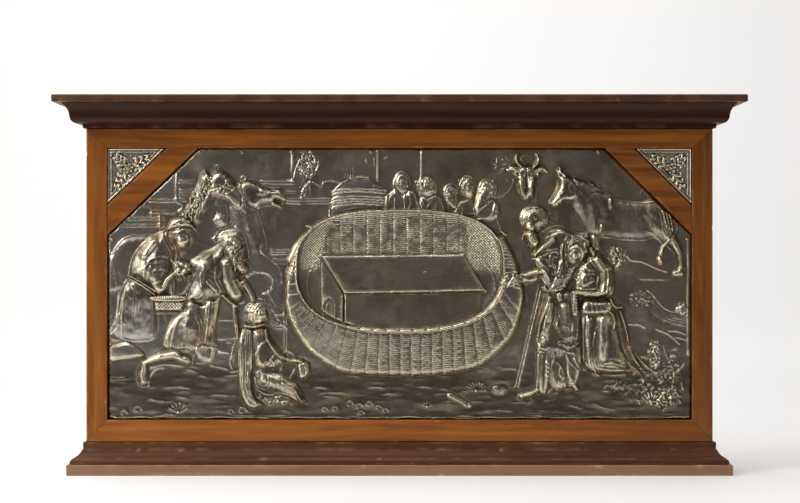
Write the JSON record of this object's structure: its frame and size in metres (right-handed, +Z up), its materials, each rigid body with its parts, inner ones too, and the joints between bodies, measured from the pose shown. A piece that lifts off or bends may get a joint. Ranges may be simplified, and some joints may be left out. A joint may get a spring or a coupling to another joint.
{
  "type": "relief plaque",
  "caption": "Framed embossed metal relief of an ark being loaded, in a mahogany frame with cornice and moulded base, standing by its own weight",
  "frame": {"origin": "Under the middle of the object, on the surface it stands on, at half of its depth.", "axes": "+Z up, the relief faces -Y, +X to the right as the relief is looked at."},
  "size_m": [0.6016, 0.0708, 0.3306],
  "materials": {
    "mahogany": "polished mahogany, darkened and chipped along the edges",
    "embossed_metal": "tarnished silver-coloured sheet, dark in the hollows and rubbed bright on the high parts",
    "nail_metal": "dull brass nail heads"
  },
  "bodies": {
    "root": {"core_board": "mahogany", "base_board": "mahogany", "top_board": "mahogany", "base_moulding_front": "mahogany", "base_moulding_left": "mahogany", "base_moulding_right": "mahogany", "cornice_front": "mahogany", "cornice_left": "mahogany", "cornice_right": "mahogany", "stile_left": "mahogany", "stile_right": "mahogany", "rail_top": "mahogany", "rail_bottom": "mahogany", "brace_left": "mahogany", "brace_right": "mahogany", "spandrel_plate_left": "embossed_metal", "spandrel_plate_right": "embossed_metal", "relief_sheet": "embossed_metal", "nail_1": "nail_metal", "nail_2": "nail_metal", "nail_3": "nail_metal", "nail_4": "nail_metal", "nail_5": "nail_metal", "nail_6": "nail_metal", "nail_7": "nail_metal"}
  },
  "joints": []
}
